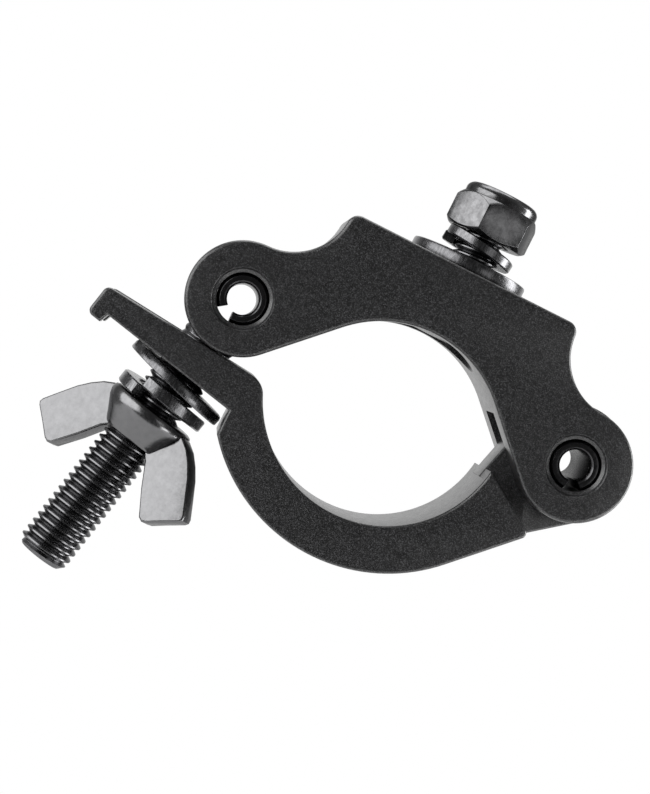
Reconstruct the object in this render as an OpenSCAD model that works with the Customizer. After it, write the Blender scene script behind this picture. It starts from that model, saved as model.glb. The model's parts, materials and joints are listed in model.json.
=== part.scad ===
// Half coupler for 48 to 51 mm tube: a saddle jaw, a hinged lower jaw closed by a swing bolt
// with a wing nut, and an M10 bolt that carries the equipment.
// Frame: origin on the tube axis at mid width, +Y along the tube, +Z along the mounting bolt.

/* [Jaws] */
// Width of both jaws along the tube
jaw_w = 30; // [26:1:34]
// Radius of the saddle that seats the tube
bore_r = 25; // [24:0.5:25.5]
// Distance of each pin from the mounting bolt axis
pin_x = 38.8; // [38:0.1:40]
// Height of the pins above the tube axis
pin_z = 13.7; // [13:0.1:14.5]
// Height of the flat mounting face above the tube axis
flat_z = 40; // [39:0.5:42]
// Distance of the cove centres from the middle of the saddle
cove_x = 39.4; // [39:0.1:40]
// Radius of the coves beside the mounting face
cove_r = 12.9; // [12:0.1:13.4]
// Width of the slots that the tongue and the bolt eye sit in
slot_w = 12.8; // [12.7:0.1:13.4]
// Radius of the cutter that leaves those slots
slot_r = 19.5; // [18:0.5:20]

/* [Lower jaw] */
// Radius of its seat
seat_r = 26; // [25:0.5:27]
// Radius of its back
back_r = 36.6; // [35:0.1:38]
// Gap that stays between the closed ear and the lug above it
ear_gap = 0.3; // [0.2:0.1:1]
// Slope of the ear's upper face
ear_slope = 5.4; // [4:0.1:7]
// Depth of the hook lip at the end of the ear
lip_h = 2.1; // [1.5:0.1:3]
// Width of the fork that the swing bolt drops into
fork_w = 13; // [12.5:0.1:14]
// Width of the hinge tongue
tongue_w = 12.2; // [11:0.1:12.2]

/* [Pins] */
// Outer diameter of the spring pins
pin_d = 11; // [10:0.5:12]
// Inner diameter of the spring pins
pin_hole_d = 6.6; // [6:0.1:7.5]
// Width of the slit along a spring pin
pin_slit = 3.2; // [2:0.1:4]
// How far each pin end sits below the jaw's side
pin_recess = 1; // [0.5:0.1:1.5]
// Direction of the slit in the hinge pin, from +X towards +Z
hinge_slit_angle = 288; // [0:1:359]
// Direction of the slit in the swing bolt's pin, from +X towards +Z
swing_slit_angle = 244; // [0:1:359]

/* [Swing bolt] */
// Lean of the swing bolt from the vertical when the clamp is shut
swing_lean = 11.8; // [10:0.1:13]
// Length from the pin to the tip
swing_len = 69.4; // [60:0.1:75]
// Outer diameter of the eye
eye_d = 24; // [22:0.5:24]
// Thickness of the eye
eye_w = 12.2; // [12.1:0.1:12.2]
// Distance from the pin to the ear face that the clamping washer bears on
ear_s = 19.9; // [19:0.1:21]

/* [Clamping hardware] */
// Outer diameter of the clamping washer
clamp_washer_d = 24.4; // [24:0.5:26]
// Thickness of the clamping washer
clamp_washer_t = 2.4; // [2:0.1:3]
// Outer diameter of the clamping spring washer
clamp_spring_d = 20.4; // [19:0.1:21.5]
// Thickness of the clamping spring washer
clamp_spring_t = 2.8; // [2.5:0.1:3.2]
// Distance from the pin to the wing nut's bearing face
wing_s = 30; // [29.8:0.1:34]
// Height of the wing nut's boss
boss_h = 8; // [7:0.5:10]
// Base diameter of the boss
boss_d = 20; // [18:0.5:22]
// Half span of the wings
wing_half = 21.7; // [21:0.1:23]
// Total height of the wing nut
wing_h = 19.8; // [19:0.1:21]
// Thickness of the wings
wing_t = 4.6; // [4:0.1:6]
// Turn of the wings about the bolt
wing_turn = 25; // [0:1:60]

/* [Mounting hardware] */
// Distance of the mounting bolt from the middle of the saddle, towards the hinge
stud_x = 1.6; // [0:0.1:2]
// Height of the end of the mounting bolt
stud_end_z = 56.5; // [54:0.5:62]
// Height of the pocket floor that the bolt head bears on
pocket_z = 31.5; // [31.5:0.5:33]
// Outer diameter of the mounting washer
mount_washer_d = 26.2; // [24:0.1:27]
// Thickness of the mounting washer
mount_washer_t = 2.6; // [2:0.1:3]
// Outer diameter of the mounting spring washer
mount_spring_d = 16.2; // [15.5:0.1:18]
// Thickness of the mounting spring washer
mount_spring_t = 2.3; // [2:0.1:2.6]
// Height of the middle of the mounting spring washer
mount_spring_z = 45.8; // [45.3:0.1:46]
// Height of the lock nut's bearing face
lock_nut_z = 48.4; // [48.4:0.1:52]
// Width across flats of the lock nut
lock_nut_af = 17; // [17:0.1:17.5]
// Height of the lock nut
lock_nut_h = 10.2; // [9.8:0.1:11]
// Direction of one corner of the lock nut
lock_nut_turn = 12; // [0:1:59]

/* [Hidden] */
$fn = 96;

// Threads M12 and M10
swing_d = 12;
stud_d = 10;
tip_chamfer = 1.2;
// A cut runs this far past the face it opens through
past = 1;
// Radial clearances of a driven pin, of a part that turns on a pin, and of a nut on its thread
press_gap = 0.02;
turn_gap = 0.05;
thread_gap = 0.07;

// Points along an arc, the same without its ends, and an outline mirrored in X and taken backwards
function arc(c, r, from, to) =
    let (n = max(3, ceil(abs(to - from) / 3)))
    [for (i = [0:n]) let (a = from + (to - from) * i / n) c + r * [cos(a), sin(a)]];
function inner(points) = [for (i = [1:len(points) - 2]) points[i]];
function mirrored(points) = [for (i = [len(points) - 1:-1:0]) [-points[i][0], points[i][1]]];
function angle_of(v) = atan2(v[1], v[0]);
// Where the tangent from p touches a round, on the side given by 1 or -1
function tangent_point(p, c, r, side) =
    let (v = c - p, l = norm(v), a = angle_of(v) + side * asin(r / l), d = sqrt(l * l - r * r))
    p + d * [cos(a), sin(a)];

// The lugs are tangent to the 45 degree flanks, which are tangent to the saddle
hinge_c = [pin_x, pin_z];
lug_r = (pin_x + pin_z) * sin(45) - bore_r;
cove_c = [cove_x, pin_z + sqrt(pow(lug_r + cove_r, 2) - pow(cove_x - pin_x, 2))];
cove_to = angle_of(hinge_c - cove_c);
// The round at the end of the flat runs smoothly into the cove
head_round = 2.4;
head_z = flat_z - head_round;
head_c = [cove_x - sqrt(pow(cove_r + head_round, 2) - pow(cove_c[1] - head_z, 2)), head_z];
cove_from = angle_of(cove_c - head_c);
// The flank ends this far inside the saddle's cylinder
blend = 0.02;
half_saddle = concat(
    arc(head_c, head_round, 90, cove_from),
    inner(arc(cove_c, cove_r, 180 + cove_from, 360 + cove_to)),
    arc(hinge_c, lug_r, 180 + cove_to, -135),
    [(bore_r - blend) * [cos(45), sin(45)], [0, bore_r - 8]]);
pin_chamfer = 1.1;
pocket_r = 10.6;
stud_hole_r = 5.5;

// The ear and the hook are laid out along the swing bolt: s from the pin, t across, towards the hinge
axis_s = [-sin(swing_lean), -cos(swing_lean)];
axis_t = [cos(swing_lean), -sin(swing_lean)];
swing_pin = [-pin_x, pin_z];
function along(s, t) = swing_pin + s * axis_s + t * axis_t;
lip_t = -19.8;
end_t = -23.6;
end_round = 1.4;
root_x = -31.1;
root_t = (root_x + pin_x - ear_s * axis_s[0]) / axis_t[0];

// The ear's upper face passes just under the lug
ear_top_n = [sin(ear_slope), cos(ear_slope)];
ear_top_d = [cos(ear_slope), -sin(ear_slope)];
ear_top_foot = swing_pin - (lug_r + ear_gap) * ear_top_n;
end_foot = ear_top_foot - end_round * ear_top_n;
end_run = (end_t + end_round - (end_foot - swing_pin) * axis_t) / (ear_top_d * axis_t);
end_top_mid = end_foot + end_run * ear_top_d;

// The seat and the back have their centres on one vertical
seat_c = [-2.4, 8.2];
back_c = [-2.4, 8.9];
back_from = 180 + acos((back_c[0] - root_x) / back_r);
heel = back_c + back_r * [cos(45), -sin(45)] + 18.6 * [cos(45), sin(45)];
heel_angle = -7.8;
heel_top = seat_c + seat_r * [cos(heel_angle), sin(heel_angle)];

// Round between the ear's upper face and the seat
corner_r = 4.5;
corner_foot = ear_top_foot - corner_r * ear_top_n;
corner_b = (corner_foot - seat_c) * ear_top_d;
corner_c = (corner_foot - seat_c) * (corner_foot - seat_c) - pow(seat_r + corner_r, 2);
corner_mid = corner_foot + (-corner_b - sqrt(corner_b * corner_b - corner_c)) * ear_top_d;
seat_from = 360 + angle_of(corner_mid - seat_c);

// The tongue grows out of the arm's end face and ends in a round about the hinge pin
tongue_r = 12.8;
face_d = (heel - heel_top) / norm(heel - heel_top);
face_in = [-face_d[1], face_d[0]];
tongue_high_foot = heel_top + 0.5 * face_d - 2 * face_in;
tongue_low_foot = heel - 0.4 * face_d - 2 * face_in;
tongue_high = tangent_point(tongue_high_foot, hinge_c, tongue_r, 1);
tongue_low = tangent_point(tongue_low_foot, hinge_c, tongue_r, -1);

// Loose washers stand a little askew on their bolts
clamp_washer_tilt = 5.8;
clamp_washer_s = 22.4;
clamp_washer_hole_r = 6.6;
clamp_spring_tilt = 3;
clamp_spring_s = 27.2;
clamp_spring_hole_r = 6.5;
clamp_spring_turn = -56;
mount_washer_x = stud_x - 0.35;
mount_washer_hole_r = 5.4;
mount_spring_tilt = 8;
mount_spring_hole_r = 5.35;
mount_spring_turn = 183;
spring_split = 1.6;

// Wing outline: radius from the bolt and height above the bearing face
wing_outline = [[5, 0.4], [9.4, 0.4], [12.6, 2], [14.8, 3.9], [16.9, 6.3], [19.4, 10],
    [wing_half - 0.3, 13.3], [wing_half, 14.2], [15.4, wing_h - 0.2], [13.9, wing_h - 0.2],
    [6.6, 9.6], [5, 7.5]];
boss_taper = 6;

// Lock nut: slopes of the chamfers, radius where each starts, and the collar with its nylon ring
nut_low_slope = 0.65;
nut_low_r = 8.3;
nut_top_slope = 1.15;
nut_top_r = 8.4;
collar_h = 2.6;
collar_r = 8.2;
hex_h = lock_nut_h - collar_h;
insert_h = 2.2;
insert_r = 6.9;
head_af = 17;
head_h = 6.3;

// Everything below is drawn with the jaw profile in X and Z
module along_tube(w) rotate([90, 0, 0]) translate([0, 0, -w / 2]) linear_extrude(w) children();

// Stands its children on the swing bolt's axis, with +Z pointing to the tip
module on_swing_bolt(s) translate([along(s, 0)[0], 0, along(s, 0)[1]])
    rotate([0, 180 + swing_lean, 0]) children();

module at_pin(x) translate([x, 0, pin_z]) rotate([90, 0, 0]) children();

module at_stud(z) translate([stud_x, 0, z]) children();

module saddle_profile() difference() {
    polygon(concat(half_saddle, mirrored(half_saddle)));
    circle(bore_r);
}

module pin_bore(x) at_pin(x) {
    cylinder(h = jaw_w + 2 * past, r = pin_d / 2 + press_gap, center = true);
    for (side = [-1, 1]) translate([0, 0, side * jaw_w / 2])
        cylinder(h = 2 * pin_chamfer, r1 = pin_d / 2 + (1 - side) * pin_chamfer,
            r2 = pin_d / 2 + (1 + side) * pin_chamfer, center = true);
}

module upper_jaw() color([0.09, 0.09, 0.10]) difference() {
    along_tube(jaw_w) saddle_profile();
    for (x = [-pin_x, pin_x]) {
        at_pin(x) cylinder(h = slot_w, r = slot_r, center = true);
        pin_bore(x);
    }
    at_stud(0) cylinder(h = pocket_z, r = pocket_r);
    at_stud(0) cylinder(h = flat_z + past, r = stud_hole_r);
}

module arm_profile() polygon(concat(
    arc(corner_mid, corner_r, seat_from - 180, 90 - ear_slope),
    arc(end_top_mid, end_round, 90 - ear_slope, 180 - swing_lean),
    arc(along(ear_s + lip_h - end_round, end_t + end_round), end_round, 180 - swing_lean, 270 - swing_lean),
    [along(ear_s + lip_h, lip_t - 0.5), along(ear_s, lip_t), along(ear_s, root_t)],
    arc(back_c, back_r, back_from, 315),
    [heel],
    arc(seat_c, seat_r, heel_angle, seat_from - 360)));

module tongue_profile() polygon(concat(
    arc(hinge_c, tongue_r, angle_of(tongue_low - hinge_c), angle_of(tongue_high - hinge_c)),
    [tongue_high_foot, tongue_low_foot]));

// The fork's mouth opens towards the hook
module fork_profile() polygon(concat(arc([0, 0], fork_w / 2, 90, 270),
    [[30, -fork_w / 2], [30, fork_w / 2]]));

module lower_jaw() color([0.09, 0.09, 0.10]) difference() {
    union() {
        along_tube(jaw_w) arm_profile();
        along_tube(tongue_w) tongue_profile();
    }
    at_pin(pin_x) cylinder(h = tongue_w + 2 * past, r = pin_d / 2 + turn_gap, center = true);
    on_swing_bolt(0) linear_extrude(swing_len) fork_profile();
}

module spring_pin(x, slit_angle) color([0.16, 0.16, 0.17]) at_pin(x) difference() {
    cylinder(h = jaw_w - 2 * pin_recess, r = pin_d / 2, center = true);
    cylinder(h = jaw_w, r = pin_hole_d / 2, center = true);
    rotate(slit_angle) translate([0, -pin_slit / 2, -jaw_w / 2]) cube([pin_d, pin_slit, jaw_w]);
}

module hinge_pin() spring_pin(pin_x, hinge_slit_angle);

module swing_bolt_pin() spring_pin(-pin_x, swing_slit_angle);

module swing_bolt() color([0.20, 0.20, 0.21]) difference() {
    union() {
        at_pin(-pin_x) cylinder(h = eye_w, d = eye_d, center = true);
        on_swing_bolt(0) {
            cylinder(h = swing_len - tip_chamfer, d = swing_d);
            translate([0, 0, swing_len - tip_chamfer])
                cylinder(h = tip_chamfer, d1 = swing_d, d2 = swing_d - 2 * tip_chamfer);
        }
    }
    at_pin(-pin_x) cylinder(h = eye_w + 2 * past, r = pin_d / 2 + turn_gap, center = true);
}

module ring(d, hole_r, t) difference() {
    cylinder(h = t, d = d, center = true);
    cylinder(h = t + 2 * past, r = hole_r, center = true);
}

module split_ring(d, hole_r, t, turn) difference() {
    ring(d, hole_r, t);
    rotate([0, 0, turn]) translate([0, -spring_split / 2, -t]) cube([d, spring_split, 2 * t]);
}

module clamp_washer() color([0.35, 0.35, 0.36])
    on_swing_bolt(clamp_washer_s) rotate([0, clamp_washer_tilt, 0])
        ring(clamp_washer_d, clamp_washer_hole_r, clamp_washer_t);

module clamp_spring_washer() color([0.22, 0.22, 0.23])
    on_swing_bolt(clamp_spring_s) rotate([0, clamp_spring_tilt, 0])
        split_ring(clamp_spring_d, clamp_spring_hole_r, clamp_spring_t, clamp_spring_turn);

module wing_nut() color([0.20, 0.20, 0.21]) on_swing_bolt(wing_s) rotate([0, 0, wing_turn])
    difference() {
        union() {
            cylinder(h = boss_h, d1 = boss_d, d2 = boss_d - boss_taper);
            for (turn = [0, 180]) rotate([90, 0, turn]) translate([0, 0, -wing_t / 2])
                linear_extrude(wing_t) polygon(wing_outline);
        }
        translate([0, 0, -past]) cylinder(h = wing_h + 2 * past, r = swing_d / 2 + thread_gap);
    }

module mounting_bolt() color([0.20, 0.20, 0.21]) {
    at_stud(pocket_z - head_h) rotate(30) cylinder(h = head_h, d = head_af / cos(30), $fn = 6);
    at_stud(pocket_z - past) cylinder(h = stud_end_z - tip_chamfer - pocket_z + past, d = stud_d);
    at_stud(stud_end_z - tip_chamfer)
        cylinder(h = tip_chamfer, d1 = stud_d, d2 = stud_d - 2 * tip_chamfer);
}

module mounting_washer() color([0.16, 0.16, 0.17])
    translate([mount_washer_x, 0, flat_z + mount_washer_t / 2])
        ring(mount_washer_d, mount_washer_hole_r, mount_washer_t);

module mounting_spring_washer() color([0.22, 0.22, 0.23])
    at_stud(mount_spring_z) rotate([0, mount_spring_tilt, 0])
        split_ring(mount_spring_d, mount_spring_hole_r, mount_spring_t, mount_spring_turn);

// A cone of the given radius at the height z, growing by 1 / slope per millimetre of height
module cone(z, r, slope, from, to) translate([0, 0, from])
    cylinder(h = to - from, r1 = r + (from - z) / slope, r2 = r + (to - z) / slope);

module lock_nut() color([0.20, 0.20, 0.21]) at_stud(lock_nut_z) difference() {
    union() {
        intersection() {
            rotate(lock_nut_turn) cylinder(h = hex_h, d = lock_nut_af / cos(30), $fn = 6);
            cone(0, nut_low_r, nut_low_slope, -past, hex_h + past);
            cone(hex_h, nut_top_r, -nut_top_slope, -past, hex_h + past);
        }
        cylinder(h = lock_nut_h, r = collar_r);
    }
    translate([0, 0, -past]) cylinder(h = lock_nut_h + 2 * past, r = stud_d / 2 + thread_gap);
    translate([0, 0, hex_h]) cylinder(h = insert_h, r = insert_r);
}

module lock_nut_insert() color([0.75, 0.75, 0.72])
    at_stud(lock_nut_z + hex_h + insert_h / 2)
        ring(2 * insert_r - 0.04, stud_d / 2 + thread_gap, insert_h - 0.04);

upper_jaw();
lower_jaw();
hinge_pin();
swing_bolt_pin();
swing_bolt();
clamp_washer();
clamp_spring_washer();
wing_nut();
mounting_bolt();
mounting_washer();
mounting_spring_washer();
lock_nut();
lock_nut_insert();
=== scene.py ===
import json
import math

import bmesh
import bpy
from mathutils import Matrix, Vector

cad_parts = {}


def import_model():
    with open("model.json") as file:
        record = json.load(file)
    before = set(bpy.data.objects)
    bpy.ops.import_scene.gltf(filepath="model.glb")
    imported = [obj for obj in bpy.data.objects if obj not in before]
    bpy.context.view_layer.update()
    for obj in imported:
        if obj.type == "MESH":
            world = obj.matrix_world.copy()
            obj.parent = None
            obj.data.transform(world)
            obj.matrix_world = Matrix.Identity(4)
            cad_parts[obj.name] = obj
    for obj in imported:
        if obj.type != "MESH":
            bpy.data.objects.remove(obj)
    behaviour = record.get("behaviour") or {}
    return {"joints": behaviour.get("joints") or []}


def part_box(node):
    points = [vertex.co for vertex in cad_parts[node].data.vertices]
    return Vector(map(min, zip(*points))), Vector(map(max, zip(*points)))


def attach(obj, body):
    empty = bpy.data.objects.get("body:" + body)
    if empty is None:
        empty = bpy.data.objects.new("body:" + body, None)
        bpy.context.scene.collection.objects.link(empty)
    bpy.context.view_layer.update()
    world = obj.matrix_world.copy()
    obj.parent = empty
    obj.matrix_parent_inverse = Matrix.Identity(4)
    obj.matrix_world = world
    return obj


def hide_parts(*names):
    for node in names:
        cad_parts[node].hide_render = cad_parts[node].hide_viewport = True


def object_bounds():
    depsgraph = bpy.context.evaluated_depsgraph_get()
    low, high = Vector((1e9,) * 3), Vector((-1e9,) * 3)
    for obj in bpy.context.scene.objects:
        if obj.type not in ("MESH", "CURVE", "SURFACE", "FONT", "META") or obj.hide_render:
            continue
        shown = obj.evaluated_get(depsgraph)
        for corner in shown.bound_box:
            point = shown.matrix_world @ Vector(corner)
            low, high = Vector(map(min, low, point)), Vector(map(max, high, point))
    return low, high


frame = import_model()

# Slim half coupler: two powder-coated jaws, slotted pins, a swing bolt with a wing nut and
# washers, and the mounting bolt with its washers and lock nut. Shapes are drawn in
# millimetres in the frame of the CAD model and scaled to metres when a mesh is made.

CAD_LOW, CAD_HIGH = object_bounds()
MM = 0.001
PAST = 1.0               # how far a cutter runs past the face it opens through


# ---------------------------------------------------------------- driving dimensions, in mm

def joint(name):
    return next(j for j in frame["joints"] if j["name"] == name)


def place(name):
    return Vector(joint(name)["pos_m"]) / MM


def plane_point(v):
    return Vector((v[0], v[2]))


HINGE = plane_point(place("lower_jaw_open"))
SWING = plane_point(place("swing_bolt_swing"))
BOLT_AXIS = Vector(joint("wing_nut_travel")["axis"]).normalized()
AXIS_S = plane_point(BOLT_AXIS)                  # along the swing bolt, towards its tip
AXIS_T = Vector((-AXIS_S[1], AXIS_S[0]))         # across it, towards the hinge
LEAN = math.degrees(math.atan2(-AXIS_S[0], -AXIS_S[1]))

JAW_W = (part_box("upper_jaw")[1].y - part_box("upper_jaw")[0].y) / MM
FLAT_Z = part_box("upper_jaw")[1].z / MM
BORE_R = 25.0
LUG_R = (HINGE[0] + HINGE[1]) * math.sqrt(0.5) - BORE_R
HEAD_ROUND = 2.4
COVE_X = 39.4
COVE_R = 12.9
EDGE_ROUND = 0.85
ARM_EDGE_ROUND = 0.65
SLOT_W = 12.8
SLOT_R = 19.5
PIN_R = 5.5
PIN_NOSE = 0.9           # length of the taper at each end
PIN_LIP = 0.5            # chamfer of the hole
PIN_SLIT = [(2.0, -0.25), (6.6, -2.75), (6.6, 2.75), (2.0, 0.25)]
PIN_BORE_R = 5.52
PIN_HOLE_R = 3.3
SLIT_ANGLES = {"hinge_pin": 288.0, "swing_bolt_pin": 244.0}
PIN_RECESS = 1.0
BORE_CHAMFER = 1.1       # width of the stepped rim round a pin's bore
POCKET_R = 10.6
POCKET_Z = 31.5
STUD_HOLE_R = 5.5
STUD_X = place("lock_nut_spin")[0]

SEAT_C = Vector((-2.4, 8.2))
SEAT_R = 26.0
BACK_C = Vector((-2.4, 8.9))
BACK_R = 36.6
HEEL_RUN = 18.6
HEEL_ANGLE = -7.8
HEEL_ROUND = 1.2
ROOT_X = -31.1
CORNER_R = 4.5
EAR_GAP = 0.3
EAR_SLOPE = 5.4
EAR_S = 19.9
LIP_H = 2.1
LIP_T = -19.8
END_T = -23.6
END_ROUND = 1.4
TONGUE_R = 12.8
TONGUE_W = 12.2
FORK_W = 13.0
TURN_BORE_R = 5.55

EYE_R = 12.25
EYE_W = 12.2
SWING_R = 6.0
SWING_LEN = 69.4
SWING_PITCH = 1.75
SWING_SHANK_FROM = 8.0
SWING_LEAD_IN = 14.0
STUD_R = 5.0
STUD_PITCH = 1.5
STUD_LEAD_IN = 3.0
STUD_HEAD_H = 6.3
STUD_HEAD_TURN = 30
STUD_END_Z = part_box("mounting_bolt")[1].z / MM

# Washers. The rounds are those of the rim; rise is how far the sprung ends stand apart and split
# is the direction in which they part.
CLAMP_WASHER = dict(radius=12.2, hole=6.6, thick=2.4, s=22.4, tilt=5.8, top_round=0.3, low_round=0.8)
CLAMP_SPRING = dict(radius=10.2, hole=6.5, thick=2.7, s=27.25, tilt=0.0, rise=-2.6, split=-56)
MOUNT_WASHER = dict(radius=13.1, hole=5.4, thick=2.6, shift=-0.35, top_round=0.5, low_round=0.25)
MOUNT_SPRING = dict(radius=8.1, hole=5.35, thick=2.2, z=45.7, tilt=5.5, rise=-1.7, split=186)
SPLIT_GAP = 1.2

WING_S = 30.0
WING_TURN = 25.0
WING_T = 4.6
WING_H = 19.8
WING_HALF = 21.7
BOSS_R = 10.1
BOSS_H = 8.0
NUT_BORE = 6.07

LOCK_Z = 48.4
LOCK_AF = 17.0
LOCK_HEX_H = 7.7
LOCK_H = 10.2
LOCK_TURN = 12.0
LOCK_COLLAR_R = 8.25
INSERT_R = 5.95

# Thread: its depth as a share of the pitch, the chamfer at its tip, and its form over one pitch
THREAD_DEPTH = 0.6134
THREAD_TIP = 1.3
THREAD_FORM = [(0.0, 0.0), (0.08, 0.0), (0.13, -0.08), (0.43, -0.95), (0.50, -1.0), (0.57, -0.95),
               (0.87, -0.08), (0.92, 0.0)]

# Camera and light, in mm and metres
CAMERA_FROM = (-43.6, -488.0, 7.54)
CAMERA_AT = (-14.57, -15.0, 3.13)
CAMERA_ROLL = 26.6
CAMERA_LENS = 103.8
# Name, place, width and height, and watts of each softbox. All face the origin.
SOFTBOXES = [
    ("left_box", (-1.06, -0.52, 0.08), (1.5, 1.1), 19),
    ("right_box", (1.15, 0.10, 0.10), (0.5, 1.6), 24),
    ("top_box", (-0.35, 0.35, 1.2), (1.2, 0.9), 12),
    ("front_box", (0.53, -0.84, 0.10), (0.36, 0.36), 0.4),
    ("low_box", (0.74, -0.66, -0.42), (0.45, 0.45), 3.2),
]
# Brightness of the surroundings against direction, from 0 at -Y to 1 at +Y
SURROUNDINGS = [(0.10, 0.05), (0.30, 0.12), (0.60, 0.16), (0.84, 0.16), (0.90, 0.50)]
SURROUNDINGS_STRENGTH = 2.0
FLOOR_DROP = 0.30


# ---------------------------------------------------------------- outlines in X and Z

def polar(radius, degrees):
    return Vector((radius * math.cos(math.radians(degrees)), radius * math.sin(math.radians(degrees))))


def arc(centre, radius, start, stop, step=2.5):
    count = max(3, math.ceil(abs(stop - start) / step))
    return [centre + polar(radius, start + (stop - start) * i / count) for i in range(count + 1)]


def angle_of(v):
    return math.degrees(math.atan2(v[1], v[0]))


def tangent_point(point, centre, radius, side):
    """Where the tangent from point touches a round, on the side given by 1 or -1."""
    gap = centre - point
    run = math.sqrt(gap.length_squared - radius * radius)
    return point + polar(run, angle_of(gap) + side * math.degrees(math.asin(radius / gap.length)))


def along(s, t):
    return SWING + s * AXIS_S + t * AXIS_T


def saddle_outline():
    cove = Vector((COVE_X, HINGE[1] + math.sqrt((LUG_R + COVE_R) ** 2 - (COVE_X - HINGE[0]) ** 2)))
    head_z = FLAT_Z - HEAD_ROUND
    head = Vector((COVE_X - math.sqrt((COVE_R + HEAD_ROUND) ** 2 - (cove[1] - head_z) ** 2), head_z))
    meet = angle_of(cove - head)
    leave = angle_of(HINGE - cove)
    half = arc(head, HEAD_ROUND, 90, meet, 8)
    half += arc(cove, COVE_R, 180 + meet, 360 + leave)[1:-1]
    half += arc(HINGE, LUG_R, 180 + leave, -135)
    half += arc(Vector((0, 0)), BORE_R, 45, 90)
    other = [Vector((-p[0], p[1])) for p in reversed(half[:-1])]
    return half + other


def ear_top_line():
    normal = polar(1, 90 - EAR_SLOPE)
    return SWING - (LUG_R + EAR_GAP) * normal, normal, polar(1, -EAR_SLOPE)


def arm_outline():
    foot, normal, run = ear_top_line()
    base = foot - CORNER_R * normal
    b = (base - SEAT_C).dot(run)
    c = (base - SEAT_C).length_squared - (SEAT_R + CORNER_R) ** 2
    corner = base + (-b - math.sqrt(b * b - c)) * run
    seat_from = 360 + angle_of(corner - SEAT_C)
    end_foot = foot - END_ROUND * normal
    reach = (END_T + END_ROUND - (end_foot - SWING).dot(AXIS_T)) / run.dot(AXIS_T)
    root_t = (ROOT_X - SWING[0] - EAR_S * AXIS_S[0]) / AXIS_T[0]
    back_from = 180 + math.degrees(math.acos((BACK_C[0] - ROOT_X) / BACK_R))
    outline = arc(corner, CORNER_R, seat_from - 180, 90 - EAR_SLOPE, 8)
    outline += arc(end_foot + reach * run, END_ROUND, 90 - EAR_SLOPE, 180 - LEAN, 12)
    outline += arc(along(EAR_S + LIP_H - END_ROUND, END_T + END_ROUND), END_ROUND,
                   180 - LEAN, 270 - LEAN, 12)
    outline += [along(EAR_S + LIP_H, LIP_T - 0.5), along(EAR_S, LIP_T), along(EAR_S, root_t)]
    outline += arc(BACK_C, BACK_R, back_from, 315)
    outline += heel_round()
    outline += arc(SEAT_C, SEAT_R, HEEL_ANGLE, seat_from - 360)
    return outline


def heel_point():
    return BACK_C + polar(BACK_R, -45) + polar(HEEL_RUN, 45)


def heel_round():
    """The rounded corner between the tangent of the back and the arm's end face."""
    corner = heel_point()
    run = polar(1, 45)
    face = (SEAT_C + polar(SEAT_R, HEEL_ANGLE) - corner).normalized()
    turn = run.angle(face)
    reach = HEEL_ROUND * math.tan(turn / 2)
    centre = corner - reach * run + HEEL_ROUND * Vector((-run[1], run[0]))
    return arc(centre, HEEL_ROUND, -45, -45 + math.degrees(turn), 10)


def tongue_outline():
    top = SEAT_C + polar(SEAT_R, HEEL_ANGLE)
    face = (heel_point() - top).normalized()
    inward = Vector((-face[1], face[0]))
    high_foot = top + 0.5 * face - 2 * inward
    low_foot = heel_point() - 0.4 * face - 2 * inward
    high = tangent_point(high_foot, HINGE, TONGUE_R, 1)
    low = tangent_point(low_foot, HINGE, TONGUE_R, -1)
    return arc(HINGE, TONGUE_R, angle_of(low - HINGE), angle_of(high - HINGE)) + [high_foot, low_foot]


# ---------------------------------------------------------------- mesh building

def new_object(name, bm, matrix=None):
    """Moves a bmesh in mm by matrix and makes an object in metres of it."""
    if matrix:
        bmesh.ops.transform(bm, matrix=matrix, verts=bm.verts)
    bmesh.ops.recalc_face_normals(bm, faces=bm.faces)
    bmesh.ops.scale(bm, vec=(MM, MM, MM), verts=bm.verts)
    mesh = bpy.data.meshes.new(name)
    bm.to_mesh(mesh)
    bm.free()
    made = bpy.data.objects.new(name, mesh)
    bpy.context.scene.collection.objects.link(made)
    return made


def ring_faces(bm, low, high, closed=True):
    count = len(low)
    for i in range(count if closed else count - 1):
        j = (i + 1) % count
        corners = [low[i], low[j], high[j], high[i]]
        corners = [v for k, v in enumerate(corners) if v not in corners[:k]]
        if len(corners) > 2:
            bm.faces.new(corners)


def inset(outline, distance):
    """The outline moved inwards by distance; the outline runs anticlockwise."""
    moved = []
    count = len(outline)
    for i, p in enumerate(outline):
        before = (p - outline[i - 1]).normalized()
        after = (outline[(i + 1) % count] - p).normalized()
        n1 = Vector((-before[1], before[0]))
        n2 = Vector((-after[1], after[0]))
        blend = n1 + n2
        moved.append(p + blend * (distance / max(0.3, 1 + n1.dot(n2))))
    return moved


def anticlockwise(outline):
    area = sum(p[0] * outline[(i + 1) % len(outline)][1] - outline[(i + 1) % len(outline)][0] * p[1]
               for i, p in enumerate(outline))
    return outline if area > 0 else list(reversed(outline))


def without_doubles(outline):
    return [p for i, p in enumerate(outline) if (p - outline[i - 1]).length > 0.01]


def prism(name, outline, width, edge=0.0, steps=4, matrix=None):
    """An outline in X and Z pulled out along Y to width, with rounded edges of radius edge."""
    outline = anticlockwise(without_doubles(outline))
    levels = [(-width / 2, 0.0), (width / 2, 0.0)]
    if edge:
        turn = [math.pi / 2 * i / steps for i in range(steps + 1)]
        near = [(-width / 2 + edge * (1 - math.cos(a)), edge * (1 - math.sin(a))) for a in turn]
        levels = near + [(-y, d) for y, d in reversed(near)]
    bm = bmesh.new()
    rings = []
    for y, d in levels:
        points = inset(outline, d) if d > 1e-9 else outline
        rings.append([bm.verts.new((p[0], y, p[1])) for p in points])
    for low, high in zip(rings, rings[1:]):
        ring_faces(bm, low, high)
    bm.faces.new(rings[0])
    bm.faces.new(rings[-1])
    return new_object(name, bm, matrix)


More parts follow.
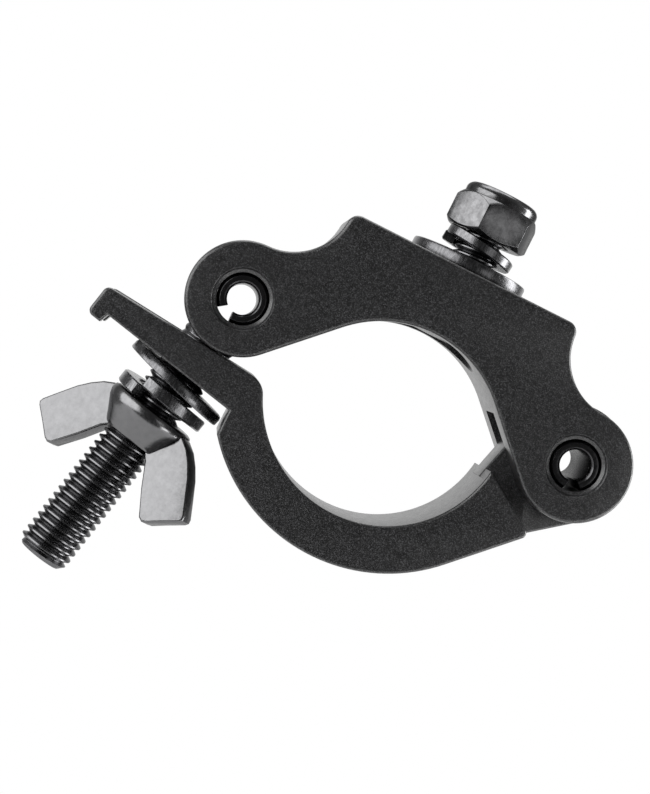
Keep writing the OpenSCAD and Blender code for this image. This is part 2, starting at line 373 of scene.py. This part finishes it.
def lathe(name, profile, matrix=None, turns=96, closed=False):
    """A profile of (radius, height) points turned about Z. A closed profile makes a ring."""
    bm = bmesh.new()
    rings = []
    for radius, height in profile:
        if radius < 1e-9:
            rings.append([bm.verts.new((0, 0, height))] * turns)
        else:
            rings.append([bm.verts.new((radius * math.cos(2 * math.pi * i / turns),
                                        radius * math.sin(2 * math.pi * i / turns), height))
                          for i in range(turns)])
    pairs = list(zip(rings, rings[1:]))
    if closed:
        pairs.append((rings[-1], rings[0]))
    for low, high in pairs:
        ring_faces(bm, low, high)
    return new_object(name, bm, matrix)


def hexagon(name, flats, low, high, turn=0.0, matrix=None):
    corner = flats / math.sqrt(3)
    bm = bmesh.new()
    rings = [[bm.verts.new((*polar(corner, turn + 60 * i), z)) for i in range(6)] for z in (low, high)]
    ring_faces(bm, *rings)
    bm.faces.new(rings[0])
    bm.faces.new(rings[1])
    return new_object(name, bm, matrix)


def sweep_section(name, section, start, stop, rise, matrix=None, step=3.0):
    """A section of (radius, height) points carried round Z from start to stop, rising by rise."""
    count = math.ceil(abs(stop - start) / step)
    bm = bmesh.new()
    rings = []
    for i in range(count + 1):
        share = i / count
        lift = rise * (share - 0.5)
        a = math.radians(start + (stop - start) * share)
        rings.append([bm.verts.new((r * math.cos(a), r * math.sin(a), h + lift)) for r, h in section])
    for low, high in zip(rings, rings[1:]):
        ring_faces(bm, low, high)
    bm.faces.new(rings[0])
    bm.faces.new(rings[-1])
    return new_object(name, bm, matrix)


def threaded_rod(name, radius, pitch, start, stop, lead_in, matrix=None, turns=72):
    """A closed rod along Z with a true helical thread between start + lead_in and its chamfered tip."""
    depth = THREAD_DEPTH * pitch
    laps = math.ceil((stop - start) / pitch) + 1
    bm = bmesh.new()
    columns = []
    for i in range(turns):
        a = 2 * math.pi * i / turns
        column = []
        for lap in range(-1, laps):
            for share, d in THREAD_FORM:
                z = start + pitch * (lap + share + i / turns)
                z = min(max(z, start), stop)
                grow = min(1.0, max(0.0, (z - start) / lead_in))
                r = radius - 0.02 + d * depth * grow
                if z > stop - THREAD_TIP:
                    r = min(r, radius - THREAD_TIP + (stop - z) * 0.9)
                column.append(bm.verts.new((r * math.cos(a), r * math.sin(a), z)))
        columns.append(column)
    for i in range(turns):
        low, high = columns[i], columns[(i + 1) % turns]
        shift = 0 if i + 1 < turns else len(THREAD_FORM)
        for k in range(len(low) - 1):
            if k + 1 + shift < len(high):
                bm.faces.new((low[k], high[k + shift], high[k + 1 + shift], low[k + 1]))
    bmesh.ops.remove_doubles(bm, verts=bm.verts, dist=1e-4)
    bmesh.ops.dissolve_degenerate(bm, edges=bm.edges, dist=1e-4)
    edges = [e for e in bm.edges if len(e.link_faces) == 1]
    bmesh.ops.holes_fill(bm, edges=edges, sides=0)
    return new_object(name, bm, matrix)


def evaluated_mesh(piece):
    bpy.context.view_layer.update()
    graph = bpy.context.evaluated_depsgraph_get()
    return bpy.data.meshes.new_from_object(piece.evaluated_get(graph))


def bake(piece):
    """Applies every modifier of the piece."""
    mesh = evaluated_mesh(piece)
    old = piece.data
    piece.modifiers.clear()
    piece.data = mesh
    bpy.data.meshes.remove(old)


def combine(piece, others, operation):
    for other in others:
        step = piece.modifiers.new("step", "BOOLEAN")
        step.operation = operation
        step.solver = "EXACT"
        step.object = other
    bake(piece)
    for other in others:
        bpy.data.objects.remove(other)


def soften(piece, width, segments=2, angle=35):
    step = piece.modifiers.new("edges", "BEVEL")
    step.width = width * MM
    step.segments = segments
    step.limit_method = "ANGLE"
    step.angle_limit = math.radians(angle)
    step.use_clamp_overlap = True
    bake(piece)


def shade(piece, angle=32):
    bm = bmesh.new()
    bm.from_mesh(piece.data)
    bmesh.ops.remove_doubles(bm, verts=bm.verts, dist=2e-7)
    bmesh.ops.dissolve_degenerate(bm, edges=bm.edges, dist=2e-7)
    bm.to_mesh(piece.data)
    bm.free()
    piece.data.shade_smooth()
    piece.data.set_sharp_from_angle(angle=math.radians(angle))


def hand_over(piece, node, body, material):
    shade(piece)
    piece.data.materials.clear()
    piece.data.materials.append(material)
    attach(piece, body)
    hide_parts(node)


def on_pin(centre):
    """Z of a lathe turned to lie along Y through a pin."""
    return Matrix.Translation((centre[0], 0, centre[1])) @ Matrix.Rotation(math.radians(90), 4, "X")


def on_bolt(s):
    """Z of a lathe along the swing bolt, pointing to its tip, at s from the pin."""
    foot = along(s, 0)
    return Matrix.Translation((foot[0], 0, foot[1])) @ Matrix.Rotation(math.radians(180 + LEAN), 4, "Y")


def on_stud(z, x=STUD_X):
    return Matrix.Translation((x, 0, z))


def tilted(degrees):
    return Matrix.Rotation(math.radians(degrees), 4, "Y")


def rod_profile(radius, low, high):
    return [(0, low), (radius, low), (radius, high), (0, high)]


# ---------------------------------------------------------------- materials

def shader(name, base, metallic, roughness):
    material = bpy.data.materials.new(name)
    material.use_nodes = True
    nodes = material.node_tree.nodes
    links = material.node_tree.links
    out = nodes["Principled BSDF"]
    out.inputs["Base Color"].default_value = (*base, 1)
    out.inputs["Metallic"].default_value = metallic
    out.inputs["Roughness"].default_value = roughness
    where = nodes.new("ShaderNodeTexCoord").outputs["Object"]
    return material, nodes, links, out, where


def noise(nodes, links, where, scale, detail=3.0, roughness=0.6):
    made = nodes.new("ShaderNodeTexNoise")
    made.inputs["Scale"].default_value = scale
    made.inputs["Detail"].default_value = detail
    made.inputs["Roughness"].default_value = roughness
    links.new(where, made.inputs["Vector"])
    return made.outputs["Fac"]


def spread(nodes, links, source, low, high, to_low, to_high):
    made = nodes.new("ShaderNodeMapRange")
    made.inputs["From Min"].default_value = low
    made.inputs["From Max"].default_value = high
    made.inputs["To Min"].default_value = to_low
    made.inputs["To Max"].default_value = to_high
    links.new(source, made.inputs["Value"])
    return made.outputs["Result"]


def mixed(nodes, links, share, a, b):
    """Colour a where share is 0 and b where it is 1. Each is a colour or a socket."""
    made = nodes.new("ShaderNodeMix")
    made.data_type = "RGBA"
    for socket, value in ((made.inputs[6], a), (made.inputs[7], b)):
        if isinstance(value, tuple):
            socket.default_value = (*value, 1)
        else:
            links.new(value, socket)
    links.new(share, made.inputs[0])
    return made.outputs[2]


def bumped(nodes, links, out, height, distance, strength):
    made = nodes.new("ShaderNodeBump")
    made.inputs["Strength"].default_value = strength
    made.inputs["Distance"].default_value = distance
    links.new(height, made.inputs["Height"])
    links.new(made.outputs["Normal"], out.inputs["Normal"])


def stretched(nodes, links, where, scale, turn=(0, 0, 0)):
    made = nodes.new("ShaderNodeMapping")
    made.inputs["Scale"].default_value = scale
    made.inputs["Rotation"].default_value = turn
    links.new(where, made.inputs["Vector"])
    return made.outputs["Vector"]


def powder_coat():
    material, nodes, links, out, where = shader("powder_coat", (0.009, 0.009, 0.0093), 0.0, 0.40)
    out.inputs["IOR"].default_value = 1.6
    flakes = nodes.new("ShaderNodeTexVoronoi")
    flakes.inputs["Scale"].default_value = 6500
    links.new(where, flakes.inputs["Vector"])
    pick = nodes.new("ShaderNodeSeparateColor")
    links.new(flakes.outputs["Color"], pick.inputs["Color"])
    sparkle = spread(nodes, links, pick.outputs["Red"], 0.55, 1.0, 0.0, 1.0)
    cloud = spread(nodes, links, noise(nodes, links, where, 1400), 0.35, 0.65, 0.0, 1.0)
    ground = mixed(nodes, links, cloud, (0.005, 0.005, 0.0052), (0.010, 0.010, 0.0103))
    links.new(mixed(nodes, links, sparkle, ground, (0.070, 0.070, 0.0725)), out.inputs["Base Color"])
    links.new(spread(nodes, links, noise(nodes, links, where, 900), 0.3, 0.7, 0.27, 0.36),
              out.inputs["Roughness"])
    bumped(nodes, links, out, noise(nodes, links, where, 3000, 2.0), 0.00005, 0.45)
    return material


def plated(name, base, roughness, grain=(1, 1, 1), wear=0.5, dents=0.25, rim=0.6):
    """Dark glossy plating with faint mottling, fine scratches and slightly uneven gloss. rim tones
    down what it mirrors at a grazing angle."""
    material, nodes, links, out, where = shader(name, base, 1.0, roughness)
    mottle = spread(nodes, links, noise(nodes, links, where, 700, 4.0), 0.3, 0.7, 0.0, 1.0)
    dark = tuple(c * (1 - 0.35 * wear) for c in base)
    light = tuple(min(1, c * (1 + 0.25 * wear)) for c in base)
    links.new(mixed(nodes, links, mottle, dark, light), out.inputs["Base Color"])
    out.inputs["Specular Tint"].default_value = (rim, rim, rim, 1)
    fine = noise(nodes, links, stretched(nodes, links, where, grain), 1800, 3.0)
    links.new(spread(nodes, links, fine, 0.3, 0.7, roughness * 0.75, roughness * 1.35),
              out.inputs["Roughness"])
    bumped(nodes, links, out, fine, 0.00002, dents)
    return material


def stamped(name, base, roughness):
    """Plated sheet metal with the torn, ribbed rim that stamping leaves."""
    material, nodes, links, out, where = shader(name, base, 1.0, roughness)
    ribs = noise(nodes, links, stretched(nodes, links, where, (1, 1, 0.25)), 2600, 4.0, 0.7)
    share = spread(nodes, links, ribs, 0.42, 0.6, 0.0, 1.0)
    links.new(mixed(nodes, links, share, tuple(c * 0.7 for c in base), tuple(c * 1.2 for c in base)),
              out.inputs["Base Color"])
    links.new(spread(nodes, links, ribs, 0.3, 0.7, roughness * 0.8, roughness * 1.5),
              out.inputs["Roughness"])
    bumped(nodes, links, out, ribs, 0.00005, 0.4)
    return material


def nylon():
    material, nodes, links, out, where = shader("nylon", (0.62, 0.60, 0.55), 0.0, 0.45)
    cloud = spread(nodes, links, noise(nodes, links, where, 500), 0.3, 0.7, 0.0, 1.0)
    links.new(mixed(nodes, links, cloud, (0.56, 0.54, 0.49), (0.66, 0.64, 0.59)),
              out.inputs["Base Color"])
    links.new(spread(nodes, links, cloud, 0, 1, 0.4, 0.55), out.inputs["Roughness"])
    bumped(nodes, links, out, cloud, 0.00003, 0.3)
    return material


# ---------------------------------------------------------------- pieces

def upper_jaw(material):
    jaw = prism("upper_jaw_coated", saddle_outline(), JAW_W, EDGE_ROUND)
    cutters = []
    for centre in (HINGE, SWING):
        cutters.append(lathe("slot", rod_profile(SLOT_R, -SLOT_W / 2, SLOT_W / 2), on_pin(centre), 144))
        half = JAW_W / 2
        rim = PIN_BORE_R + BORE_CHAMFER
        side = [(rim + PAST, half + PAST), (rim - 0.25, half - 0.25), (rim - 0.45, half - 0.75),
                (PIN_BORE_R, half - BORE_CHAMFER - 0.1)]
        profile = [(r, -y) for r, y in side] + list(reversed(side))
        cutters.append(lathe("bore", [(0, -half - PAST)] + profile + [(0, half + PAST)], on_pin(centre)))
    cutters.append(lathe("pocket", [(0, 12), (POCKET_R, 12), (POCKET_R, POCKET_Z), (STUD_HOLE_R, POCKET_Z),
                                    (STUD_HOLE_R, FLAT_Z + PAST), (0, FLAT_Z + PAST)], on_stud(0)))
    combine(jaw, cutters, "DIFFERENCE")
    soften(jaw, 0.25)
    hand_over(jaw, "upper_jaw", "saddle", material)


def lower_jaw(material):
    jaw = prism("lower_jaw_coated", arm_outline(), JAW_W, ARM_EDGE_ROUND)
    tongue = prism("tongue", tongue_outline(), TONGUE_W, 0.4, 3)
    combine(jaw, [tongue], "UNION")
    bore = lathe("bore", rod_profile(TURN_BORE_R, -TONGUE_W, TONGUE_W), on_pin(HINGE))
    mouth = arc(Vector((0, 0)), FORK_W / 2, 90, 270, 6)
    mouth += [Vector((30, -FORK_W / 2)), Vector((30, FORK_W / 2))]
    lie = Matrix.Rotation(math.radians(90), 4, "X")
    fork = prism("fork", mouth, 2 * SWING_LEN, 0, matrix=on_bolt(0) @ lie)
    combine(jaw, [bore, fork], "DIFFERENCE")
    soften(jaw, 0.25)
    hand_over(jaw, "lower_jaw", "closing_jaw", material)


def spring_pin(name, node, centre, material):
    """A rolled pin. The ends of the rolled sheet slant, so its slit opens outwards."""
    half = JAW_W / 2 - PIN_RECESS
    tip_r = PIN_R - 0.7
    section = [(PIN_HOLE_R + PIN_LIP, -half), (tip_r, -half), (PIN_R, -half + PIN_NOSE),
               (PIN_R, half - PIN_NOSE), (tip_r, half), (PIN_HOLE_R + PIN_LIP, half),
               (PIN_HOLE_R, half - PIN_LIP), (PIN_HOLE_R, -half + PIN_LIP)]
    pin = lathe(name, section, on_pin(centre), closed=True)
    slit = [Vector(p) for p in PIN_SLIT]
    turn = Matrix.Rotation(math.radians(-SLIT_ANGLES[node]), 4, "Y")
    wedge = prism("slit", slit, JAW_W, 0, matrix=Matrix.Translation((centre[0], 0, centre[1])) @ turn)
    combine(pin, [wedge], "DIFFERENCE")
    soften(pin, 0.15, 2, 40)
    hand_over(pin, node, "saddle", material)


def swing_bolt(material):
    eye_half = EYE_W / 2
    bevel = 1.0
    profile = [(TURN_BORE_R + 0.4, -eye_half), (EYE_R - bevel, -eye_half), (EYE_R - 0.3, -eye_half + 0.3),
               (EYE_R, -eye_half + bevel), (EYE_R, eye_half - bevel), (EYE_R - 0.3, eye_half - 0.3),
               (EYE_R - bevel, eye_half), (TURN_BORE_R + 0.4, eye_half), (TURN_BORE_R, eye_half - 0.4),
               (TURN_BORE_R, -eye_half + 0.4)]
    bolt = lathe("swing_bolt_threaded", profile, on_pin(SWING), closed=True)
    shank = threaded_rod("shank", SWING_R, SWING_PITCH, SWING_SHANK_FROM, SWING_LEN, SWING_LEAD_IN,
                         on_bolt(0))
    combine(bolt, [shank], "UNION")
    hand_over(bolt, "swing_bolt", "eye_bolt", material)


def flat_washer(name, node, body, size, matrix, material):
    half = size["thick"] / 2
    top_round, low_round = size["top_round"], size["low_round"]
    profile = [(size["hole"] + 0.25, -half), (size["radius"] - low_round, -half),
               (size["radius"] - 0.3 * low_round, -half + 0.3 * low_round),
               (size["radius"], -half + low_round), (size["radius"], half - top_round),
               (size["radius"] - 0.3 * top_round, half - 0.3 * top_round),
               (size["radius"] - top_round, half), (size["hole"] + 0.25, half),
               (size["hole"], half - 0.25), (size["hole"], -half + 0.25)]
    washer = lathe(name, profile, matrix, 120, closed=True)
    hand_over(washer, node, body, material)


def spring_washer(name, node, body, size, matrix, material):
    half = size["thick"] / 2
    split = size["split"]
    nick = 0.3
    out, hole = size["radius"], size["hole"]
    section = [(hole, -half + nick), (hole + nick, -half), (out - nick, -half), (out, -half + nick),
               (out, half - nick), (out - nick, half), (hole + nick, half), (hole, half - nick)]
    gap = math.degrees(SPLIT_GAP / out)
    washer = sweep_section(name, section, split + gap / 2, split + 360 - gap / 2, size["rise"], matrix)
    soften(washer, 0.1, 1, 60)
    hand_over(washer, node, body, material)


def wing_outline():
    """Radius from the bolt and height above the bearing face."""
    points = [(4.0, 0.3), (8.8, 0.3), (10.4, 0.75), (12.6, 1.95), (14.8, 3.9), (16.9, 6.3), (19.4, 10.0),
              (WING_HALF - 0.2, 13.2), (WING_HALF, 14.1), (WING_HALF - 0.5, 14.8), (18.1, 17.2),
              (15.4, WING_H - 0.4), (14.4, WING_H), (13.4, WING_H - 0.4), (9.7, 14.4), (6.6, 9.6),
              (4.0, 7.0)]
    return [Vector(p) for p in points]


def wing_nut(material):
    stand = on_bolt(WING_S) @ Matrix.Rotation(math.radians(WING_TURN), 4, "Z")
    boss = [(NUT_BORE + 0.5, 0), (BOSS_R - 0.9, 0), (BOSS_R - 0.25, 0.3), (BOSS_R, 0.9), (BOSS_R, 1.7),
            (BOSS_R - 0.4, 2.9), (BOSS_R - 1.15, 4.2), (BOSS_R - 2.0, 5.6), (BOSS_R - 2.6, 6.7),
            (BOSS_R - 3.0, 7.4), (BOSS_R - 3.35, 7.85), (BOSS_R - 3.6, BOSS_H),
            (NUT_BORE + 0.3, BOSS_H), (NUT_BORE, BOSS_H - 0.3), (NUT_BORE, 0.5)]
    nut = lathe("wing_nut_forged", boss, stand, closed=True)
    wings = []
    for turn in (0, 180):
        spin = Matrix.Rotation(math.radians(turn), 4, "Z")
        wings.append(prism("wing", wing_outline(), WING_T, 0.45, 3, matrix=stand @ spin))
    combine(nut, wings, "UNION")
    bore = lathe("bore", rod_profile(NUT_BORE, -PAST, WING_H + PAST), stand)
    combine(nut, [bore], "DIFFERENCE")
    soften(nut, 0.35, 3, 30)
    hand_over(nut, "wing_nut", "wing", material)


def mounting_bolt(material):
    head_low = POCKET_Z - STUD_HEAD_H
    head = hexagon("mounting_bolt_threaded", LOCK_AF, head_low, POCKET_Z, STUD_HEAD_TURN, on_stud(0))
    dome = lathe("dome", [(0, head_low), (8.2, head_low), (11.0, head_low + 1.6), (11.0, POCKET_Z + PAST),
                          (0, POCKET_Z + PAST)], on_stud(0))
    combine(head, [dome], "INTERSECT")
    shank = threaded_rod("shank", STUD_R, STUD_PITCH, POCKET_Z - 1, STUD_END_Z, STUD_LEAD_IN, on_stud(0))
    combine(head, [shank], "UNION")
    hand_over(head, "mounting_bolt", "saddle", material)


def lock_nut(material):
    stand = on_stud(LOCK_Z)
    corner = LOCK_AF / math.sqrt(3)
    flat = LOCK_AF / 2
    low_slope, top_slope = 0.65, 1.15
    low_r, top_r = flat - 0.2, flat - 0.1
    reach = corner + PAST
    nut = hexagon("lock_nut_plated", LOCK_AF, 0, LOCK_HEX_H, LOCK_TURN, stand)
    cone = lathe("cone", [(0, -PAST), (low_r - PAST / low_slope, -PAST),
                          (reach, (reach - low_r) * low_slope),
                          (reach, LOCK_HEX_H - (reach - top_r) * top_slope),
                          (top_r - PAST / top_slope, LOCK_HEX_H + PAST),
                          (0, LOCK_HEX_H + PAST)], stand, 144)
    combine(nut, [cone], "INTERSECT")
    r = LOCK_COLLAR_R
    collar = lathe("collar", [(0, 1), (r, 1), (r, LOCK_H - 1.5), (r - 0.12, LOCK_H - 1.05),
                              (r - 0.45, LOCK_H - 0.55), (r - 0.95, LOCK_H - 0.18), (r - 1.6, LOCK_H),
                              (0, LOCK_H)], stand, 120)
    combine(nut, [collar], "UNION")
    bore = lathe("bore", [(0, -PAST), (STUD_R + 0.9 + PAST, -PAST), (STUD_R + 0.07, 0.9),
                          (STUD_R + 0.07, LOCK_H - 2.7), (6.0, LOCK_H - 2.6), (6.0, LOCK_H + PAST),
                          (0, LOCK_H + PAST)], stand)
    combine(nut, [bore], "DIFFERENCE")
    soften(nut, 0.18, 2, 20)
    hand_over(nut, "lock_nut", "stud_nut", material)


def lock_nut_insert(material):
    low, high = LOCK_H - 2.5, LOCK_H - 0.5
    inner_r = STUD_R + 0.05
    section = [(inner_r, low + 0.3), (INSERT_R, low), (INSERT_R, high - 0.1), (5.7, high),
               (STUD_R + 0.35, high), (inner_r, high - 0.35)]
    ring = lathe("lock_nut_insert_ring", section, on_stud(LOCK_Z), closed=True)
    hand_over(ring, "lock_nut_insert", "stud_nut", material)


# ---------------------------------------------------------------- scene

def build():
    coat = powder_coat()
    upper_jaw(coat)
    lower_jaw(coat)
    pins = plated("pin_steel", (0.06, 0.06, 0.062), 0.20, (1, 6, 1), rim=0.25)
    spring_pin("hinge_pin_slotted", "hinge_pin", HINGE, pins)
    spring_pin("swing_bolt_pin_slotted", "swing_bolt_pin", SWING, pins)
    bolts = plated("bolt_steel", (0.13, 0.13, 0.134), 0.24, wear=0.2, dents=0.02)
    swing_bolt(bolts)
    mounting_bolt(bolts)
    sheet = stamped("washer_steel", (0.12, 0.12, 0.124), 0.22)
    flat_washer("clamp_washer_plated", "clamp_washer", "flat_washer", CLAMP_WASHER,
                on_bolt(CLAMP_WASHER["s"]) @ tilted(CLAMP_WASHER["tilt"]), sheet)
    flat_washer("mounting_washer_plated", "mounting_washer", "stud_washer", MOUNT_WASHER,
                on_stud(FLAT_Z + MOUNT_WASHER["thick"] / 2, STUD_X + MOUNT_WASHER["shift"]), sheet)
    springs = stamped("spring_steel", (0.13, 0.13, 0.134), 0.20)
    spring_washer("clamp_spring_washer_split", "clamp_spring_washer", "spring_washer", CLAMP_SPRING,
                  on_bolt(CLAMP_SPRING["s"]) @ tilted(CLAMP_SPRING["tilt"]), springs)
    spring_washer("mounting_spring_washer_split", "mounting_spring_washer", "stud_spring_washer",
                  MOUNT_SPRING, on_stud(MOUNT_SPRING["z"]) @ tilted(MOUNT_SPRING["tilt"]), springs)
    wing_nut(plated("forged_steel", (0.14, 0.14, 0.143), 0.20, wear=0.3))
    lock_nut(plated("nut_steel", (0.13, 0.13, 0.133), 0.20, wear=1.0, rim=0.4))
    lock_nut_insert(nylon())


def aim(thing, target, up=(0, 0, 1)):
    back = (thing.location - Vector(target)).normalized()
    right = Vector(up).cross(back).normalized()
    upward = back.cross(right)
    thing.rotation_mode = "QUATERNION"
    thing.rotation_quaternion = Matrix((right, upward, back)).transposed().to_quaternion()


def camera():
    """Stands where the photograph was taken: beside the swing bolt's lug, close, with a roll."""
    roll = math.radians(CAMERA_ROLL)
    data = bpy.data.cameras.new("camera")
    data.lens = CAMERA_LENS
    data.clip_start = 0.01
    made = bpy.data.objects.new("camera", data)
    bpy.context.scene.collection.objects.link(made)
    made.location = Vector(CAMERA_FROM) * MM
    aim(made, Vector(CAMERA_AT) * MM, (-math.sin(roll), 0, math.cos(roll)))
    bpy.context.scene.camera = made


def softbox(name, location, target, size, power):
    data = bpy.data.lights.new(name, "AREA")
    data.shape = "RECTANGLE"
    data.size, data.size_y = size
    data.energy = power
    made = bpy.data.objects.new(name, data)
    bpy.context.scene.collection.objects.link(made)
    made.location = location
    aim(made, target)


def floor():
    """A pale sheet under the object. It ends before it shows in the gloss of the front faces."""
    half = Vector((0.75, 0.55))
    bm = bmesh.new()
    bmesh.ops.create_grid(bm, x_segments=1, y_segments=1, size=1 / MM)
    plane = new_object("floor", bm)
    plane.scale = (half.x, half.y, 1)
    plane.location = (0, 0.12, CAD_LOW.z - FLOOR_DROP)
    material, nodes, links, out, where = shader("floor_paper", (0.93, 0.93, 0.93), 0.0, 0.9)
    cloud = noise(nodes, links, where, 3)
    links.new(mixed(nodes, links, cloud, (0.92, 0.92, 0.92), (0.94, 0.94, 0.94)), out.inputs["Base Color"])
    plane.data.materials.append(material)


def world():
    """White to the camera. It lights from behind the object and is dim on every other side."""
    made = bpy.data.worlds.new("studio")
    bpy.context.scene.world = made
    made.use_nodes = True
    nodes, links = made.node_tree.nodes, made.node_tree.links
    background = nodes["Background"]
    direction = nodes.new("ShaderNodeTexCoord").outputs["Generated"]
    split = nodes.new("ShaderNodeSeparateXYZ")
    links.new(direction, split.inputs["Vector"])
    ramp = nodes.new("ShaderNodeValToRGB")
    links.new(spread(nodes, links, split.outputs["Y"], -1, 1, 0, 1), ramp.inputs["Fac"])
    stops = ramp.color_ramp.elements
    stops[0].position, stops[1].position = SURROUNDINGS[0][0], SURROUNDINGS[-1][0]
    for position, _ in SURROUNDINGS[1:-1]:
        stops.new(position)
    for stop, (_, level) in zip(stops, SURROUNDINGS):
        stop.color = (level, level, level, 1)
    seen = nodes.new("ShaderNodeLightPath").outputs["Is Camera Ray"]
    links.new(mixed(nodes, links, seen, ramp.outputs["Color"], (0.5, 0.5, 0.5)), background.inputs["Color"])
    background.inputs["Strength"].default_value = SURROUNDINGS_STRENGTH


def lights():
    """The large box at the left reaches round to the front, where the wings mirror it."""
    for name, location, size, power in SOFTBOXES:
        softbox(name, location, (0, 0, 0), size, power)


build()
camera()
floor()
world()
lights()
bpy.context.scene.view_settings.view_transform = "Standard"
